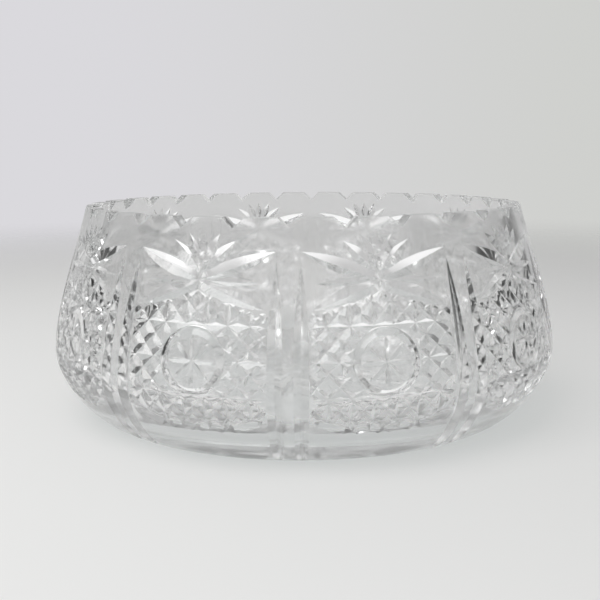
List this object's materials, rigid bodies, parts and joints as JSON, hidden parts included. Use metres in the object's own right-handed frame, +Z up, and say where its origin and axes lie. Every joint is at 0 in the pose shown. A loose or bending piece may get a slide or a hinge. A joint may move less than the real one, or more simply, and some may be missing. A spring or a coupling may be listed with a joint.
{
  "type": "punch bowl",
  "caption": "Wide, heavy cut-crystal punch bowl with a notched rim, paired upright grooves, leaf cuts, round lenses and a flat foot ring.",
  "frame": {"origin": "middle of the foot ring, on the surface that the bowl stands on", "axes": "+Z up along the axis that the bowl is turned about; -Y faces a pair of upright grooves, and +X the middle of a panel"},
  "size_m": [0.2536, 0.2536, 0.1016],
  "materials": {
    "lead_crystal": "clear lead crystal, hand cut and polished"
  },
  "bodies": {
    "root": {"bowl": "lead_crystal"}
  },
  "joints": []
}
